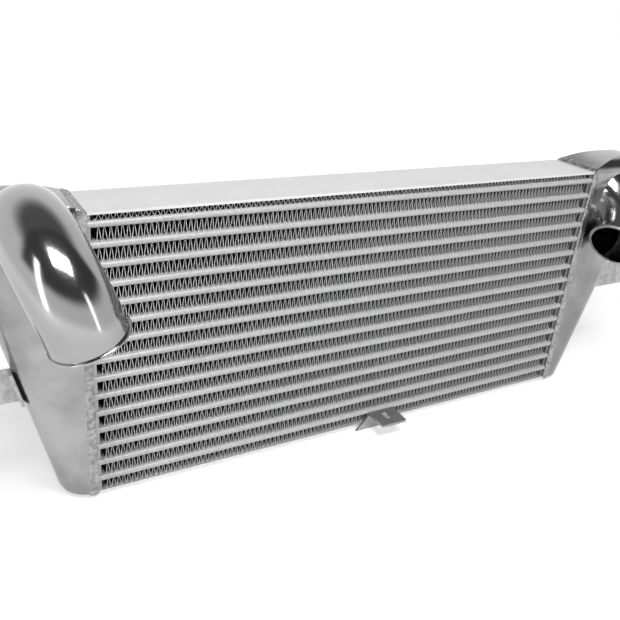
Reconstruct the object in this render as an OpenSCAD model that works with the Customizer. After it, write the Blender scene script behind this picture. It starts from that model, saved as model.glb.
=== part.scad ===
// Bar-and-plate charge-air cooler with leaning half-round end tanks and bent hose pipes.
// Millimetres, +Z up. The origin is the middle of the core's underside and air flows along Y.

/* [Core] */
// Width of the core between the tanks
core_w = 600; // [450:1:750]
// Depth of the core from front to back
core_d = 60; // [54:1:80]
// Thickness of the top and bottom side plates
plate_t = 2.5; // [1.5:0.1:4]
// Number of flat charge tubes
tube_count = 15; // [10:1:15]
// Height of one charge tube over its two sheets
tube_t = 6; // [4:0.1:9]
// Thickness of a parting sheet
sheet_t = 0.6; // [0.4:0.1:1]
// Depth of the face bar that closes a tube at the front and at the back
bar_d = 6; // [3:0.5:10]
// Reach of the bars' round noses in front of the sheets and the fins
nose_l = 3; // [1:0.1:4]

/* [Air fins] */
// Height of an air row between two tubes
fin_h = 12.5; // [9:0.5:16]
// Height of the air row under the top plate
top_fin_h = 6; // [4:0.5:14]
// Height of the air row above the bottom plate
bottom_fin_h = 10; // [5:0.5:14]
// Length of one whole wave of fin sheet
fin_wave = 12.8; // [10:0.1:25]
// Thickness of the fin sheet
fin_t = 0.3; // [0.2:0.05:0.6]
// Set-back of the fins behind the edges of the sheets
fin_inset = 0.4; // [0.2:0.1:3]
// Width of the bar that closes an air row at the tank
end_bar_w = 3; // [2:0.5:10]
// Space between that bar and the last fold of the fins
fin_end_gap = 3; // [0.5:0.5:8]
// Waves of the turbulator across a charge tube
turbulator_waves = 5; // [3:1:5]
// Thickness of the turbulator sheet
turbulator_t = 0.3; // [0.2:0.05:0.5]
// Set-back of a turbulator from the open ends of its tube
turbulator_inset = 2; // [0:0.5:20]
// Braze gap between a wave's crests and the sheet it meets
braze_gap = 0.05; // [0.02:0.01:0.1]

/* [End tanks] */
// Width of the left tank at its foot
left_foot_w = 32; // [31:0.5:45]
// Lean of the left tank's outer edge away from upright
left_lean = 14; // [8:0.5:18]
// Width of the right tank at its foot
right_foot_w = 42.8; // [36:0.1:50]
// Lean of the right tank's outer edge away from upright
right_lean = 16.6; // [8:0.1:20]
// Wall of a tank
tank_wall = 3; // [2:0.1:5]
// Rise of a tank's crown above the core
crown_rise = 13.3; // [10:0.1:20]
// Place of the crown's highest line, outward from the core's end
crown_out = 65; // [50:0.5:80]
// Radius of the crown's front and back edges
crown_edge_r = 20; // [12:0.5:26]
// Radius of the crown's outer corner
crown_corner_r = 20; // [12:0.5:26]
// Radius of the corner at the foot
foot_r = 10; // [6:0.5:16]
// Width of the weld round a tank's joint, on the tank
weld_w = 9; // [5:0.5:14]
// Height of that weld
weld_h = 1.2; // [0.6:0.1:2]

/* [Hose pipes] */
// Outside diameter of both pipes
pipe_od = 63.5; // [54:0.5:66]
// Wall of both pipes
pipe_wall = 2; // [1.5:0.1:3]
// Length of the straight end that takes a hose
hose_end_l = 8; // [5:0.5:30]
// Rise of the rolled lip above the pipe
lip_h = 1.9; // [1:0.1:3]
// Width of the rolled lip
lip_w = 3; // [2:0.1:5]
// Centre-line radius of the left bend
left_bend_r = 64.2; // [58:0.1:76]
// Sweep of the left bend
left_sweep = 150; // [120:1:160]
// Slope of the left bend where it ends in its seat
left_seat_angle = 148.9; // [138:0.1:152]
// Outward lean of the left bend
left_bend_lean = 20.3; // [10:0.1:28]
// Place of the left pipe's seat, outward from the core's end
left_seat_out = 35.5; // [33:0.1:44]
// Place of the left pipe's seat, behind the middle
left_seat_back = 9.6; // [0:0.1:12]
// Depth of the left pipe's seat below the core's top
left_seat_drop = 33.2; // [26:0.1:38]
// Centre-line radius of the right bend
right_bend_r = 60.3; // [58:0.1:72]
// Sweep of the right bend
right_sweep = 91; // [80:1:97]
// Place of the right pipe's seat, outward from the core's end
right_seat_out = 45; // [42:0.5:48]
// Depth of the right pipe's seat below the core's top
right_seat_drop = 24; // [20:0.5:28]

/* [Brackets] */
// Thickness of the bracket plate
bracket_t = 3; // [2:0.1:6]
// Width of the three brackets
bracket_w = 34; // [24:1:50]
// Reach of the left bracket, outward from the core's end
left_bracket_reach = 144; // [100:1:150]
// Reach of the right bracket, outward from the core's end
right_bracket_reach = 163; // [120:1:170]
// Depth of a side bracket's flange along the tank
flange_d = 11; // [6:0.5:16]
// Space between that flange and the tank's outermost line
flange_gap = 0.3; // [0.1:0.1:1]
// Radius of a side bracket's corners
bracket_corner_r = 6; // [2:0.5:10]
// Bolt hole in a side bracket
bracket_hole_d = 8.5; // [5:0.1:12]
// Distance of that hole from the bracket's end
bracket_hole_edge = 14; // [10:0.5:18]
// Height of the left bracket's lower edge
left_bracket_z = 103; // [60:1:150]
// Height of the right bracket's lower edge
right_bracket_z = 110; // [60:1:150]
// Place of the lower bracket, right of the middle
lower_bracket_x = 30; // [-200:1:200]
// Height of the lower bracket's seat face
lower_bracket_z = 15.5; // [13:0.5:17]
// Reach of the lower bracket in front of the core
lower_bracket_reach = 30; // [24:0.5:50]
// Radius of the lower bracket's front corners
lower_corner_r = 2; // [1:0.5:6]
// Height of the lower bracket's welded leg
lower_leg_h = 20.5; // [16:0.5:30]
// Flare of the welded leg on each side
lower_leg_flare = 16; // [0:0.5:30]
// Length of the slot over its round ends
slot_l = 14; // [9:0.5:17]
// Width of the slot
slot_w = 7; // [5:0.1:9]
// Distance of the slot's middle from the core
slot_out = 13.5; // [12:0.1:14.5]

/* [Hidden] */
$fn = 96;
pitch = tube_t + fin_h;
core_h = 2 * plate_t + bottom_fin_h + tube_count * tube_t + (tube_count - 1) * fin_h + top_fin_h;
row_count = tube_count + 1;
fin_span = core_w - 2 * (end_bar_w + fin_end_gap);
fin_waves = floor(fin_span / fin_wave);
channel_h = tube_t - 2 * sheet_t;
sheet_d = core_d - 2 * nose_l;
channel_d = sheet_d - 2 * bar_d;
core_end = core_w / 2;
half_d = core_d / 2;
crown_r = (crown_out * crown_out + crown_rise * crown_rise) / (2 * crown_rise);
crown_centre_z = core_h + crown_rise - crown_r;
tank_far = crown_out + 2 * crown_r;
tank_tall = core_h + crown_rise + 2 * half_d;
// Step that keeps two round faces of a tank from only grazing each other
blend_step = 0.3;
right_turn = [-155.3, -33, 21.9];
left_turn = [0, left_bend_lean, 0];

function two(n) = n < 10 ? str("0", n) : str(n);
function tube_z(i) = plate_t + bottom_fin_h + (tube_count - i) * pitch;
function row_z(i) = i > tube_count ? plate_t : tube_z(i) + tube_t;
function row_h(i) = i == 1 ? top_fin_h : i > tube_count ? bottom_fin_h : fin_h;

// Outline of a folded sheet: along the upper side and back along the lower side
function wave_points(count, wave, height, sheet) =
    let (
        leg = sqrt(wave * wave / 4 + height * height),
        half = sheet * leg / wave,
        swing = height / 2 - half
    )
    concat(
        [for (k = [0 : 2 * count]) [(k - count) * wave / 2, (k % 2 == 0 ? -1 : 1) * swing + half]],
        [for (k = [2 * count : -1 : 0]) [(k - count) * wave / 2, (k % 2 == 0 ? -1 : 1) * swing - half]]
    );

fin_nodes = [for (i = [1 : row_count]) str("air_fin_", two(i))];
tube_nodes = [for (i = [1 : tube_count]) str("charge_tube_", two(i))];
turbulator_nodes = [for (i = [1 : tube_count]) str("turbulator_", two(i))];

// Side plates of the core

module side_plate(z) {
    translate([-core_end, -half_d, z])
        cube([core_w, core_d, plate_t]);
}

module top_side_plate() {
    color("gainsboro") side_plate(core_h - plate_t);
}

module bottom_side_plate() {
    color("gainsboro") side_plate(0);
}

// Corrugated air fins, folded across the air stream

module air_fin(i) {
    depth = sheet_d - 2 * fin_inset;
    color("darkgray")
        translate([0, depth / 2, row_z(i) + row_h(i) / 2])
            rotate([90, 0, 0])
                linear_extrude(depth)
                    polygon(wave_points(fin_waves, fin_span / fin_waves, row_h(i) - 2 * braze_gap, fin_t));
}

// Charge tubes: two parting sheets brazed to a front and a back face bar,
// whose noses are round and stand proud of the sheets

module tube_section() {
    nose_r = (nose_l * nose_l + tube_t * tube_t / 4) / (2 * nose_l);
    difference() {
        union() {
            square([sheet_d, tube_t], center = true);
            for (side = [-1, 1])
                intersection() {
                    translate([side * (half_d - nose_r), 0])
                        circle(r = nose_r);
                    translate([side * (half_d - nose_l / 2), 0])
                        square([nose_l, tube_t], center = true);
                }
        }
        square([channel_d, channel_h], center = true);
    }
}

module charge_tube(i) {
    color("lightgray")
        translate([-core_end, 0, tube_z(i) + tube_t / 2])
            rotate([90, 0, 90])
                linear_extrude(core_w)
                    tube_section();
}

module turbulator(i) {
    span = channel_d - 2 * braze_gap;
    length = core_w - 2 * turbulator_inset;
    color("slategray")
        translate([-length / 2, 0, tube_z(i) + tube_t / 2])
            rotate([90, 0, 90])
                linear_extrude(length)
                    polygon(wave_points(turbulator_waves, span / turbulator_waves,
                        channel_h - 2 * braze_gap, turbulator_t));
}

// End bars: one in each air row against each tank

module end_bars() {
    color("dimgray")
        for (i = [1 : row_count])
            translate([core_end - end_bar_w, -sheet_d / 2, row_z(i)])
                cube([end_bar_w, sheet_d, row_h(i)]);
}

module right_end_bars() {
    end_bars();
}

module left_end_bars() {
    mirror([1, 0, 0]) end_bars();
}

// End tanks. The form is made at the right end, as three views that cut each other,
// and it runs a little way into the core, where the tank and its cavity are open.

module tank_plan(grow) {
    r = half_d + grow;
    circle(r = r);
    translate([-tank_far, -r])
        square([tank_far, 2 * r]);
}

// Place of the circle that rounds a corner between the crown and the leaning outer edge
function corner_z(foot_w, lean) =
    let (
        near = foot_w + blend_step - crown_corner_r / cos(lean) - crown_out,
        t = tan(lean),
        reach = crown_r - crown_corner_r + blend_step,
        m = near * t - crown_centre_z
    )
    (sqrt(m * m - (1 + t * t) * (near * near + crown_centre_z * crown_centre_z - reach * reach)) - m)
        / (1 + t * t);

function corner_x(foot_w, lean) =
    foot_w + blend_step + corner_z(foot_w, lean) * tan(lean) - crown_corner_r / cos(lean);

module tank_lengthwise(foot_w, lean, grow) {
    foot_x = foot_w + foot_r * tan(lean) - foot_r / cos(lean) + blend_step;
    corner = [corner_x(foot_w, lean), corner_z(foot_w, lean)];
    to_crown = (corner - [crown_out, crown_centre_z]) / (crown_r - crown_corner_r) * core_d;
    to_edge = [cos(lean), -sin(lean)] * core_d;
    difference() {
        translate([crown_out, crown_centre_z])
            circle(r = crown_r + grow);
        translate([crown_out - crown_r - core_d, -crown_r])
            square([2 * (crown_r + core_d), crown_r - grow]);
        difference() {
            translate([foot_x, foot_r])
                polygon([[0, 0], [0, -2 * core_d], [2 * core_d, -2 * core_d], [2 * core_d, -2 * core_d * tan(lean)]]);
            translate([foot_x, foot_r])
                circle(r = foot_r + grow);
        }
        difference() {
            translate(corner)
                polygon([[0, 0], to_edge, to_edge + to_crown, to_crown]);
            translate(corner)
                circle(r = crown_corner_r + grow);
        }
    }
}

module tank_across(grow) {
    edge_r = crown_edge_r + grow;
    wide = half_d + grow + blend_step;
    top = core_h + crown_rise + grow + blend_step;
    translate([-wide, -half_d])
        square([2 * wide, top + half_d - edge_r]);
    translate([edge_r - wide, 0])
        square([2 * (wide - edge_r), top]);
    for (side = [-1, 1])
        translate([side * (wide - edge_r), top - edge_r])
            circle(r = edge_r);
}

module tank_form(foot_w, lean, grow) {
    intersection() {
        translate([core_end + foot_w - half_d / cos(lean), 0, 0])
            rotate([0, lean, 0])
                translate([0, 0, -tank_tall / 2])
                    linear_extrude(2 * tank_tall)
                        tank_plan(grow);
        translate([core_end, core_d, 0])
            rotate([90, 0, 0])
                linear_extrude(2 * core_d)
                    tank_lengthwise(foot_w, lean, grow);
        translate([core_end - core_d, 0, 0])
            rotate([90, 0, 90])
                linear_extrude(tank_far + core_d)
                    tank_across(grow);
    }
}

module right_form(grow) {
    tank_form(right_foot_w, right_lean, grow);
}

module left_form(grow) {
    tank_form(left_foot_w, left_lean, grow);
}

module beyond_core(wide) {
    translate([core_end, -core_d, -core_d])
        cube([wide, 2 * core_d, core_h + 3 * core_d]);
}

module right_tank() {
    color("silver")
        difference() {
            intersection() {
                right_form(0);
                beyond_core(tank_far);
            }
            right_form(-tank_wall);
            right_place() bend_bore(right_bend_r, right_sweep);
        }
}

module left_tank() {
    color("silver")
        mirror([1, 0, 0])
            difference() {
                intersection() {
                    left_form(0);
                    beyond_core(tank_far);
                }
                left_form(-tank_wall);
                intersection() {
                    left_place() bend_bore(left_bend_r, left_sweep);
                    translate([core_end, -4 * core_d, 0])
                        cube([tank_far, 4 * core_d + half_d - 2 * tank_wall, core_h + core_d]);
                }
            }
}

module right_tank_weld() {
    color("whitesmoke")
        difference() {
            intersection() {
                right_form(weld_h);
                beyond_core(weld_w);
            }
            right_form(0);
        }
}

module left_tank_weld() {
    color("whitesmoke")
        mirror([1, 0, 0])
            difference() {
                intersection() {
                    left_form(weld_h);
                    beyond_core(weld_w);
                }
                left_form(0);
            }
}

// Hose pipes: a bent tube from its seat in the tank to a straight end with a rolled lip.
// Each bend is drawn from its hose end and set down with its other end at the seat in the tank.

module seated(bend_r, sweep) {
    translate([-bend_r, 0, 0])
        rotate([0, 0, -sweep])
            children();
}

module right_place() {
    translate([core_end + right_seat_out, 0, core_h - right_seat_drop])
        rotate(right_turn)
            rotate([180, 0, 0])
                seated(right_bend_r, right_sweep)
                    children();
}

module left_place() {
    translate([core_end + left_seat_out, left_seat_back, core_h - left_seat_drop])
        rotate(left_turn)
            rotate([90, 0, -90])
                rotate([0, 0, left_seat_angle])
                    seated(left_bend_r, left_sweep)
                        children();
}

module bend(bend_r, sweep, d) {
    rotate_extrude(angle = sweep)
        translate([bend_r, 0])
            circle(d = d);
}

module bend_bore(bend_r, sweep) {
    bend(bend_r, sweep, pipe_od - 2 * pipe_wall);
}

module hose_end() {
    inner = pipe_od / 2 - pipe_wall;
    neck = pipe_od / 2 + lip_h - lip_w / 2;
    rotate_extrude() {
        translate([inner, 0])
            square([pipe_wall, hose_end_l]);
        translate([inner, hose_end_l - lip_w])
            square([neck - inner, lip_w]);
        translate([neck, hose_end_l - lip_w / 2])
            circle(d = lip_w);
    }
}

module bent_pipe(bend_r, sweep) {
    rotate_extrude(angle = sweep)
        translate([bend_r, 0])
            difference() {
                circle(d = pipe_od);
                circle(d = pipe_od - 2 * pipe_wall);
            }
    translate([bend_r, 0, 0])
        rotate([90, 0, 0])
            hose_end();
}

module right_pipe() {
    color("silver")
        difference() {
            right_place() bent_pipe(right_bend_r, right_sweep);
            right_form(0);
        }
}

module left_pipe() {
    color("silver")
        mirror([1, 0, 0])
            difference() {
                left_place() bent_pipe(left_bend_r, left_sweep);
                left_form(0);
                translate([core_end, half_d - 2 * tank_wall, 0])
                    cube([tank_far, core_d, core_h + core_d]);
            }
}

// Side brackets: a plate coped to the round outer side of its tank, with a flange
// folded forward along that side

module side_bracket(foot_w, lean, reach, z) {
    inner = foot_w + z * tan(lean) + flange_gap;
    outer = inner + bracket_t / cos(lean);
    slant = bracket_w * tan(lean);
    translate([core_end, bracket_t / 2, z])
        rotate([90, 0, 0]) {
            linear_extrude(bracket_t)
                difference() {
                    union() {
                        square([reach - bracket_corner_r, bracket_w]);
                        translate([0, bracket_corner_r])
                            square([reach, bracket_w - 2 * bracket_corner_r]);
                        for (y = [bracket_corner_r, bracket_w - bracket_corner_r])
                            translate([reach - bracket_corner_r, y])
                                circle(r = bracket_corner_r);
                    }
                    translate([reach - bracket_hole_edge, bracket_w / 2])
                        circle(d = bracket_hole_d);
                }
            linear_extrude(flange_d + bracket_t)
                polygon([[inner, 0], [outer, 0], [outer + slant, bracket_w], [inner + slant, bracket_w]]);
        }
}

module right_bracket() {
    color("lightgray")
        difference() {
            side_bracket(right_foot_w, right_lean, right_bracket_reach, right_bracket_z);
            right_form(0);
        }
}

module left_bracket() {
    color("lightgray")
        mirror([1, 0, 0])
            difference() {
                side_bracket(left_foot_w, left_lean, left_bracket_reach, left_bracket_z);
                left_form(0);
            }
}

// Lower bracket: one bent plate, its upright leg welded to the face of the core

module lower_bracket() {
    color("lightgray")
        translate([lower_bracket_x, -half_d, lower_bracket_z]) {
            translate([0, 0, -bracket_t])
                linear_extrude(bracket_t)
                    difference() {
                        union() {
                            translate([-bracket_w / 2, lower_corner_r - lower_bracket_reach])
                                square([bracket_w, lower_bracket_reach - lower_corner_r]);
                            translate([lower_corner_r - bracket_w / 2, -lower_bracket_reach])
                                square([bracket_w - 2 * lower_corner_r, lower_bracket_reach]);
                            for (x = [lower_corner_r - bracket_w / 2, bracket_w / 2 - lower_corner_r])
                                translate([x, lower_corner_r - lower_bracket_reach])
                                    circle(r = lower_corner_r);
                        }
                        translate([-slot_w / 2, -slot_out - (slot_l - slot_w) / 2])
                            square([slot_w, slot_l - slot_w]);
                        for (y = [-1, 1])
                            translate([0, y * (slot_l - slot_w) / 2 - slot_out])
                                circle(d = slot_w);
                    }
            rotate([90, 0, 0])
                linear_extrude(bracket_t)
                    polygon([
                        [-bracket_w / 2, 0],
                        [-bracket_w / 2, -bracket_t],
                        [-bracket_w / 2 - lower_leg_flare, -lower_leg_h],
                        [bracket_w / 2 + lower_leg_flare, -lower_leg_h],
                        [bracket_w / 2, -bracket_t],
                        [bracket_w / 2, 0]
                    ]);
        }
}

top_side_plate();
bottom_side_plate();
for (i = [1 : row_count])
    air_fin(i);
for (i = [1 : tube_count])
    charge_tube(i);
for (i = [1 : tube_count])
    turbulator(i);
left_end_bars();
right_end_bars();
left_tank();
right_tank();
left_tank_weld();
right_tank_weld();
left_pipe();
right_pipe();
left_bracket();
right_bracket();
lower_bracket();
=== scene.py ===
"""Studio scene of a front-mounted charge-air cooler: camera, floor and lamps, then the cooler in the
order in which it is put together. Metres, +Z up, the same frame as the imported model."""
from math import radians

import bpy
import numpy as np
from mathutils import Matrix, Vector


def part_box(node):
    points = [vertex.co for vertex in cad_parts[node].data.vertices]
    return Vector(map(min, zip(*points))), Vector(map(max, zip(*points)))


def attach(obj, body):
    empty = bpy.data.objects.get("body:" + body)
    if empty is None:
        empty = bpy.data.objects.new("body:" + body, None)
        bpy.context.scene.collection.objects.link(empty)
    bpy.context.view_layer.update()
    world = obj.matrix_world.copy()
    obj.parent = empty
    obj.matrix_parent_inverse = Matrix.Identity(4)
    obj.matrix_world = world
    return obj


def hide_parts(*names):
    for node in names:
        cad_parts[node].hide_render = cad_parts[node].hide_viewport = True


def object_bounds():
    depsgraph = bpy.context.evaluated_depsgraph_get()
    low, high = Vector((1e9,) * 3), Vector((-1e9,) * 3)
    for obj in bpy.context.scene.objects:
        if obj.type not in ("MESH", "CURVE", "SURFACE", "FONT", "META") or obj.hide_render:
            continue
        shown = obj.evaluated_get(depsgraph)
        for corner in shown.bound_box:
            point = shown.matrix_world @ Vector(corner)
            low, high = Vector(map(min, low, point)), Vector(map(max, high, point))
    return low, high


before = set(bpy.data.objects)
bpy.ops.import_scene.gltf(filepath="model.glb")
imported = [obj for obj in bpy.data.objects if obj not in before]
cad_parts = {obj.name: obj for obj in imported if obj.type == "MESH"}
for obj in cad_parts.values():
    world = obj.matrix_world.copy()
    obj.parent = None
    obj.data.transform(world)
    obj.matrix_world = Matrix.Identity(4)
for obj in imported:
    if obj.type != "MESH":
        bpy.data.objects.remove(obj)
cad_box = [list(corner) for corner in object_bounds()]
scene = bpy.context.scene

# Camera
# It stands in front of the cooler's left end, a little above it, and leans slightly to one side.
# Its place and lens were fitted to the core's corners, bars and fins.
camera = bpy.data.objects.new("camera", bpy.data.cameras.new("camera"))
camera.location = (-0.4376, -0.6116, 0.4857)
camera.rotation_euler = [radians(a) for a in (64.62, -4.85, -29.31)]
camera.data.lens = 42.84
camera.data.sensor_width = 36
scene.collection.objects.link(camera)
scene.camera = camera
scene.view_settings.view_transform = "Standard"


# Floor and studio
# A plain pale floor right under the cooler, a white wall all round under a dark ceiling, and three
# soft lamps: one above and in front, and a narrow one at each side. The camera, the polished metal
# and clear materials see one and the same floor, wall and ceiling.
def nodes_of(material_or_world):
    """The node tree, emptied."""
    material_or_world.use_nodes = True
    tree = material_or_world.node_tree
    tree.nodes.clear()
    return tree


def add(tree, kind, links=(), **values):
    """A node with its inputs set by name or number, and linked from other nodes' outputs."""
    node = tree.nodes.new(kind)
    inputs = values.pop("inputs", {})
    for key, value in values.items():
        setattr(node, key, value)
    for key, value in inputs.items():
        node.inputs[key].default_value = value
    for key, source in links:
        tree.links.new(source, node.inputs[key])
    return node


def ramp(tree, source, start, end, low, high):
    """A value that goes smoothly from low to high while the source goes from start to end."""
    return add(tree, "ShaderNodeMapRange", [(0, source)], inputs={1: start, 2: end, 3: low, 4: high},
               interpolation_type="SMOOTHSTEP").outputs[0]


def combine(tree, operation, first, second):
    """Two values joined by a math operation; either may be a number."""
    node = add(tree, "ShaderNodeMath", operation=operation)
    for i, value in enumerate((first, second)):
        if isinstance(value, (int, float)):
            node.inputs[i].default_value = value
        else:
            tree.links.new(value, node.inputs[i])
    return node.outputs[0]


def looking_rays(tree):
    """1 for the rays that look at the studio: from the camera, reflections and clear materials."""
    path = add(tree, "ShaderNodeLightPath")
    mirror = combine(tree, "MAXIMUM", path.outputs["Is Glossy Ray"], path.outputs["Is Transmission Ray"])
    return combine(tree, "MAXIMUM", path.outputs["Is Camera Ray"], mirror)


wall_light = 0.45
ceiling_seen = 0.08

world = bpy.data.worlds.new("studio")
scene.world = world
tree = nodes_of(world)
seen = looking_rays(tree)
ray = add(tree, "ShaderNodeSeparateXYZ", [(0, add(tree, "ShaderNodeTexCoord").outputs["Generated"])])
ray_back = ray.outputs["Y"]
ray_up = ray.outputs["Z"]
behind = combine(tree, "MULTIPLY", ramp(tree, ray_back, -0.05, 0.20, 0.0, 1.0),
                 ramp(tree, ray_up, 0.50, 0.85, 1.0, 0.15))
wall = combine(tree, "MAXIMUM", behind, ramp(tree, ray_up, 0.19, 0.42, 1.0, ceiling_seen))
fill = combine(tree, "MAXIMUM", behind, ramp(tree, ray_up, 0.2, 1.0, 0.05, 0.15))
fill = combine(tree, "MULTIPLY", combine(tree, "SUBTRACT", 1.0, seen),
               combine(tree, "MULTIPLY", fill, wall_light))
strength = combine(tree, "ADD", combine(tree, "MULTIPLY", seen, wall), fill)
background = add(tree, "ShaderNodeBackground", [("Strength", strength)], inputs={"Color": (1, 1, 1, 1)})
add(tree, "ShaderNodeOutputWorld", [("Surface", background.outputs[0])])

floor_half = 6
floor_gap = 0.0005
floor_colour = (0.8, 0.8, 0.8, 1)
glow_near = 0.55
glow_far = 1.0

floor_z = cad_box[0][2] - floor_gap
floor_corners = [(x * floor_half, y * floor_half, floor_z) for x, y in ((-1, -1), (1, -1), (1, 1), (-1, 1))]
floor_mesh = bpy.data.meshes.new("floor")
floor_mesh.from_pydata(floor_corners, [], [(0, 1, 2, 3)])
floor = bpy.data.objects.new("floor", floor_mesh)
scene.collection.objects.link(floor)
floor_paint = bpy.data.materials.new("floor_paint")
tree = nodes_of(floor_paint)
paint = add(tree, "ShaderNodeBsdfDiffuse", inputs={"Color": floor_colour})
place = add(tree, "ShaderNodeTexCoord").outputs["Object"]
distance = add(tree, "ShaderNodeVectorMath", [(0, place)], operation="LENGTH").outputs["Value"]
# The floor glows least near the cooler, so that it keeps the shadow there.
lit = combine(tree, "MULTIPLY", looking_rays(tree), ramp(tree, distance, 0.5, 1.6, glow_near, glow_far))
glow = add(tree, "ShaderNodeEmission", [("Strength", lit)])
both = add(tree, "ShaderNodeAddShader", [(0, paint.outputs[0]), (1, glow.outputs[0])])
add(tree, "ShaderNodeOutputMaterial", [("Surface", both.outputs[0])])
floor_mesh.materials.append(floor_paint)


def soft_lamp(name, place, aim, size, power):
    """A rectangular soft lamp at a place, turned towards a point."""
    lamp = bpy.data.objects.new(name, bpy.data.lights.new(name, "AREA"))
    lamp.data.shape = "RECTANGLE"
    lamp.data.size, lamp.data.size_y = size
    lamp.data.energy = power
    lamp.location = place
    lamp.rotation_euler = (Vector(aim) - Vector(place)).to_track_quat("-Z", "Y").to_euler()
    scene.collection.objects.link(lamp)


soft_lamp("top_lamp", (-0.2, -0.82, 1.56), (0, 0, 0.15), (0.9, 0.45), 21)
soft_lamp("left_strip", (-1.35, -0.55, 0.55), (-0.2, 0, 0.15), (0.16, 1.1), 2.6)
soft_lamp("right_strip", (0.75, -1.7, 0.6), (0.0, 0, 0.15), (0.18, 1.2), 2.4)


# Side plates
# Two flat sheets of bare aluminium close the core at the top and at the bottom. They are brazed
# to the outer air rows, brushed along their length and left without any print.
def aluminium(name, colour, rough, grain=(1, 1, 1), grain_size=900.0, bump=0.02, cloud=0.06, cloud_size=28.0,
              haze=0.08, metallic=1.0, painted_shade_deep=1.0, painted_edge_highlight=1.0):
    """Bare aluminium: a fine grain stretched by the scale in grain, in its gloss and bump, with slow clouds
    in colour.
    Away from the core's faces the colour falls to the share in deep, a painted shade deep in the core, and
    the first 0.5 mm at the front and back are brighter by one over rim, a painted highlight on the edges."""
    material = bpy.data.materials.new(name)
    tree = nodes_of(material)
    place = add(tree, "ShaderNodeTexCoord").outputs["Object"]
    stretch = add(tree, "ShaderNodeMapping", [("Vector", place)], inputs={"Scale": grain}).outputs[0]
    fine = add(tree, "ShaderNodeTexNoise", [("Vector", stretch)], inputs={"Scale": grain_size, "Detail": 3.0})
    slow = add(tree, "ShaderNodeTexNoise", [("Vector", place)], inputs={"Scale": cloud_size, "Detail": 4.0})
    tint = ramp(tree, slow.outputs[0], 0.3, 0.7, 1 - cloud, 1.0)
    # Painted shade: the colour falls deep inside the core, away from its front and back faces. Painted
    # highlight: the outermost 0.5 mm keeps full colour while the rest is darkened by the rim share.
    if painted_shade_deep < 1 or painted_edge_highlight < 1:
        out = combine(tree, "ABSOLUTE", add(tree, "ShaderNodeSeparateXYZ", [(0, place)]).outputs["Y"], 0)
        tint = combine(tree, "MULTIPLY", tint, ramp(tree, out, 0.0215, 0.0268, painted_shade_deep, 1.0))
        tint = combine(tree, "MULTIPLY", tint, ramp(tree, out, 0.0262, 0.0267, painted_edge_highlight, 1.0))
    shade = add(tree, "ShaderNodeMix", [("Factor", tint)], data_type="RGBA")
    shade.inputs[6].default_value = (0, 0, 0, 1)
    shade.inputs[7].default_value = (*colour, 1)
    gloss = add(tree, "ShaderNodeMapRange", [(0, fine.outputs[0])],
                inputs={1: 0.25, 2: 0.75, 3: rough - haze / 2, 4: rough + haze / 2})
    relief = add(tree, "ShaderNodeBump", [("Height", fine.outputs[0])],
                 inputs={"Strength": 0.6, "Distance": bump / 1000})
    metal = add(tree, "ShaderNodeBsdfPrincipled",
                [("Base Color", shade.outputs[2]), ("Roughness", gloss.outputs[0]),
                 ("Normal", relief.outputs[0])], inputs={"Metallic": metallic})
    add(tree, "ShaderNodeOutputMaterial", [("Surface", metal.outputs[0])])
    return material


def finish_nodes(material, *names):
    """Gives CAD nodes a finish."""
    for name in names:
        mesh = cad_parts[name].data
        mesh.materials.clear()
        mesh.materials.append(material)


def nodes_named(start):
    """The names of the CAD nodes that begin in one way."""
    return [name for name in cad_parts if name.startswith(start)]


plate_metal = aluminium("brushed_plate", (0.82, 0.82, 0.82), 0.36, grain=(0.03, 1, 1), bump=0.03,
                        metallic=0.6)
finish_nodes(plate_metal, "top_side_plate", "bottom_side_plate")

# Charge tubes
# Each is two parting sheets brazed to an extruded bar at the front and at the back, with a round
# nose. The hot air runs inside them from tank to tank, over a folded turbulator.
bar_metal = aluminium("extruded_bar", (0.66, 0.66, 0.66), 0.42, grain=(0.02, 1, 1), bump=0.04,
                      metallic=0.15, cloud=0.15, cloud_size=300.0)
finish_nodes(bar_metal, *nodes_named("charge_tube"))
turbulator_metal = aluminium("turbulator_sheet", (0.6, 0.6, 0.6), 0.4)
finish_nodes(turbulator_metal, *nodes_named("turbulator"))


# Air fins
# A thin sheet folded into a close wave fills each air row. Its crests are round and brazed to the
# sheets above and below, and no two folds are quite alike.
def make_piece(name, points, faces, material):
    """A mesh piece from arrays of points and faces, riding on the cooler."""
    mesh = bpy.data.meshes.new(name)
    mesh.from_pydata(points.reshape(-1, 3).tolist(), [], faces.tolist())
    mesh.materials.append(material)
    piece = bpy.data.objects.new(name, mesh)
    scene.collection.objects.link(piece)
    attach(piece, "root")
    return piece


def grid_faces(rows, columns):
    """Quads of a grid of points, numbered row by row."""
    corner = (np.arange(rows - 1)[:, None] * columns + np.arange(columns - 1)).ravel()
    return np.stack([corner, corner + 1, corner + columns + 1, corner + columns], 1)


# The fin sheet is painted as lit and shaded copies of one aluminium. One is a bright copy with painted shade
# deep in the core and a painted highlight at the front edge. The other is a near-black copy for the sheet's
# under side, a painted shade.
painted_lit_fin = aluminium("fin_sheet_painted_light", (0.95, 0.95, 0.95), 0.5, metallic=0.2, bump=0.03, painted_shade_deep=0.10, painted_edge_highlight=0.5)
painted_shade_under_side = aluminium("fin_under_side_painted_shade", (0.10, 0.10, 0.10), 0.5, metallic=0.3, bump=0.03, painted_shade_deep=0.1,
                       painted_edge_highlight=0.8)
# A still brighter, less metallic copy for the sheet's cut edges: a painted highlight along the edges.
fin_edge_painted_highlight = aluminium("fin_edge_painted_highlight", (0.98, 0.98, 0.98), 0.45, metallic=0.1, bump=0.02)
fold_count = 232
fold_half_width = 0.00075
fold_rise = 0.0015
fold_turn = 1.35
fold_shift = 0.00010
crest_gap = 0.0002
upper_crest_gap = 0.0003
fin_thickness = 0.00045


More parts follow.
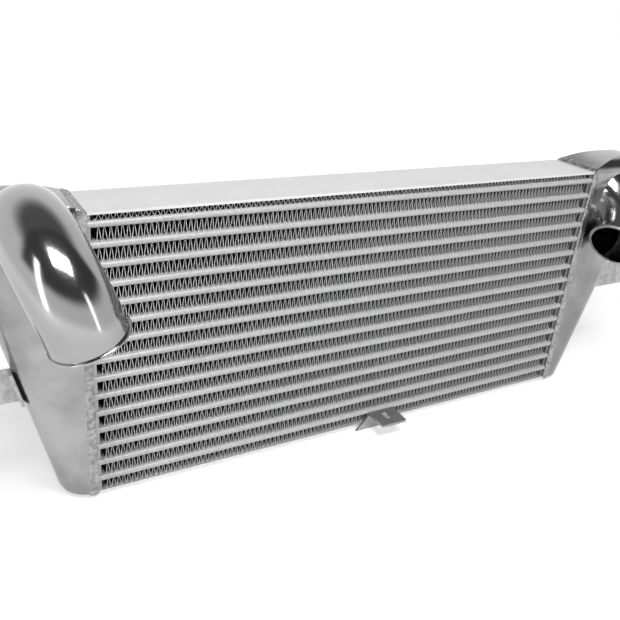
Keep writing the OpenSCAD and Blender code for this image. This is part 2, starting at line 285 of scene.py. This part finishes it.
def folded_sheet(low, high, seed):
    """A wave of tall round folds: each fold is an arch x = a sin(t), z = b cos(t), half a wave from
    the next, and straight legs join them. Each is shifted and raised a little at random."""
    chance = np.random.default_rng(seed)
    width = (high[0] - low[0]) / fold_count
    turn = np.linspace(-1, 1, 9) * fold_turn
    fold = np.arange(fold_count)
    up = np.where(fold % 2, 1.0, -1.0)
    middle = low[0] + width * (fold + 0.5) + chance.normal(0, fold_shift, fold_count)
    half_rise = (high[2] - low[2] - fin_thickness) / 2
    top = half_rise * chance.uniform(0.975, 1.0, fold_count) - crest_gap - upper_crest_gap * up
    x = middle[:, None] + fold_half_width * np.sin(turn)
    z = (low[2] + high[2]) / 2 + up[:, None] * (top[:, None] - fold_rise * (1 - np.cos(turn)))
    points = np.zeros((2, x.size, 3))
    points[:, :, 0] = np.clip(x.ravel(), low[0], high[0])
    points[:, :, 1] = np.array([[low[1]], [high[1]]])
    points[:, :, 2] = z.ravel()
    return points


for name in nodes_named("air_fin"):
    low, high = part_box(name)
    points = folded_sheet(low, high, int(name[-2:]))
    piece = make_piece("folded_" + name, points, grid_faces(*points.shape[:2]), painted_shade_under_side)
    piece.data.materials.append(painted_lit_fin)
    piece.data.materials.append(fin_edge_painted_highlight)
    wall = piece.modifiers.new("thickness", "SOLIDIFY")
    wall.thickness = fin_thickness
    wall.offset = 0
    # The sheet's original face keeps the painted-shade copy, its new face takes the bright copy, and its cut
    # edges take the painted highlight.
    wall.material_offset = 1
    wall.material_offset_rim = 2
    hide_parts(name)

# End bars
# Short solid bars of aluminium close each air row against the tanks. They are brazed in between
# the sheets, just past the ends of the fins.
end_bar_metal = aluminium("end_bar", (0.4, 0.4, 0.4), 0.5)
finish_nodes(end_bar_metal, "left_end_bars", "right_end_bars")

# End tanks
# Welded aluminium tanks, ground and polished all over. Their outer edge leans out to the crown,
# where the pipe is let in.
tank_metal = aluminium("polished_tank", (0.41, 0.41, 0.41), 0.18, grain=(1, 1, 0.15), grain_size=500,
                       bump=0.02, haze=0.06, cloud=0.40, cloud_size=16.0)
finish_nodes(tank_metal, "left_tank", "right_tank")

# Tank welds
# A bead runs right round each tank where it meets the core, laid by hand in short overlapping
# ripples. It is uneven in width and height.
weld_metal = aluminium("weld_bead", (0.46, 0.46, 0.46), 0.24, grain=(1, 1, 0.35), grain_size=420,
                       bump=0.30, cloud=0.5, cloud_size=200.0, metallic=0.8)
core_end = 0.300
tank_half_depth = 0.030
shoulder_radius = 0.020
shoulder_y = 0.0103
shoulder_z = 0.2796
crown_radius = 0.1655
crown_x = 0.065
crown_z = 0.1338
ripple_length = 0.0023
sample_step = 0.00080
bead_foot = -0.0012
bead_low, bead_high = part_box("right_tank_weld")
bead_rise = bead_high[1] - tank_half_depth
bead_width = bead_high[0] - bead_low[0]


def uneven(chance, count, step, spread):
    """Random values along a closed line, changing about every step samples, straight in between."""
    knots = chance.normal(0, spread, max(4, count // step))
    return np.interp(np.arange(count), np.linspace(0, count, knots.size + 1), np.append(knots, knots[0]))


def section(across):
    """The tank's outline at a distance from the core: flat front and back, rounded shoulders, and a
    crown that rises as a circle about a centre further out."""
    crown = crown_z + np.sqrt(crown_radius ** 2 - (across - crown_x) ** 2)
    shoulder = np.arcsin((crown - shoulder_z) / shoulder_radius)
    side = np.linspace(0, shoulder_z, 350)
    arc = np.linspace(0, shoulder, 10)[1:]
    round_y = np.minimum(tank_half_depth, shoulder_y + shoulder_radius * np.cos(arc))
    y = np.concatenate([np.full(side.size, tank_half_depth), round_y])
    z = np.concatenate([side, shoulder_z + shoulder_radius * np.sin(arc)])
    top = np.linspace(-1, 1, 74)[1:-1] * y[-1]
    base = np.linspace(1, -1, 76)[1:-1] * tank_half_depth
    return np.stack([np.concatenate([-y, top, y[::-1], base]),
                     np.concatenate([z, np.full(top.size, crown), z[::-1], np.zeros(base.size)])], 1)


def weld_bead(side, seed):
    """A strip round the tank. Its height is a flattened arch across, cut by a ripple |sin| along,
    and its edges wander."""
    chance = np.random.default_rng(seed)
    across = np.linspace(0, 1, 15)
    rings = []
    count = section(0.0).shape[0]
    along = np.arange(count)
    far_edge = bead_width * (1.0 + np.abs(uneven(chance, count, 9, 0.07)))
    near_edge = uneven(chance, count, 7, 0.0003)
    slow = uneven(chance, count, 25, 1.5)
    swell = uneven(chance, count, 6, 0.09)
    for part in across:
        outline = section(bead_width * part)
        ahead, back = np.roll(outline, -2, 0), np.roll(outline, 2, 0)
        slope = (ahead - back) / np.maximum(np.linalg.norm(ahead - back, axis=1), 1e-9)[:, None]
        outward = np.stack([-slope[:, 1], slope[:, 0]], 1)
        turns = along * sample_step / ripple_length + 0.5 * (2 * part - 1) ** 2 + slow
        ripple = np.abs(np.sin(np.pi * turns))
        arch = (1 - abs(2 * part - 1) ** 3.5) ** 0.6
        rise = bead_rise * np.clip(arch * (0.50 + 0.50 * ripple ** 0.6 + swell), 0, 1)
        rise = np.where((part == 0) | (part == 1), bead_foot, rise)
        place = outline + outward * rise[:, None]
        x = core_end + near_edge * (1 - part) * (part > 0) + far_edge * part
        rings.append(np.stack([side * x, place[:, 0], place[:, 1]], 1))
    return np.stack(rings)


for side, name, seed in ((-1, "left_tank_weld", 3), (1, "right_tank_weld", 4)):
    points = weld_bead(side, seed)
    rows, columns = points.shape[:2]
    row = np.arange(rows - 1)[:, None] * columns
    step = np.arange(columns)
    after = (step + 1) % columns
    faces = np.stack([row + step, row + after, row + columns + after, row + columns + step], 2)
    faces = faces.reshape(-1, 4)[:, ::side]
    piece = make_piece(name.replace("weld", "bead"), points, faces, weld_metal)
    piece.data.shade_smooth()
    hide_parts(name)

# Hose pipes
# Thin bent tubes, coped and welded to the tanks with the seam ground away and polished with them.
# Each ends in a rolled lip that keeps a hose from slipping off.
pipe_metal = aluminium("polished_pipe", (0.41, 0.41, 0.41), 0.14, grain_size=500, bump=0.015, haze=0.05,
                       cloud=0.15, cloud_size=12.0)
finish_nodes(pipe_metal, "left_pipe", "right_pipe")

# Brackets
# Flat pieces of sheet, sawn and bent, welded to the tanks' outer edges and to the core's front.
# The two at the sides are blotched and brighter, and the lower one is plain mill sheet.
bracket_metal = aluminium("bracket_sheet", (0.58, 0.58, 0.58), 0.34, metallic=0.6, cloud=0.35,
                          cloud_size=110.0, grain=(1, 1, 0.2), bump=0.03)
finish_nodes(bracket_metal, "left_bracket", "right_bracket")
mill_metal = aluminium("mill_sheet", (0.40, 0.40, 0.40), 0.36, grain=(1, 0.2, 1), bump=0.03, cloud=0.15,
                       metallic=0.8)
finish_nodes(mill_metal, "lower_bracket")
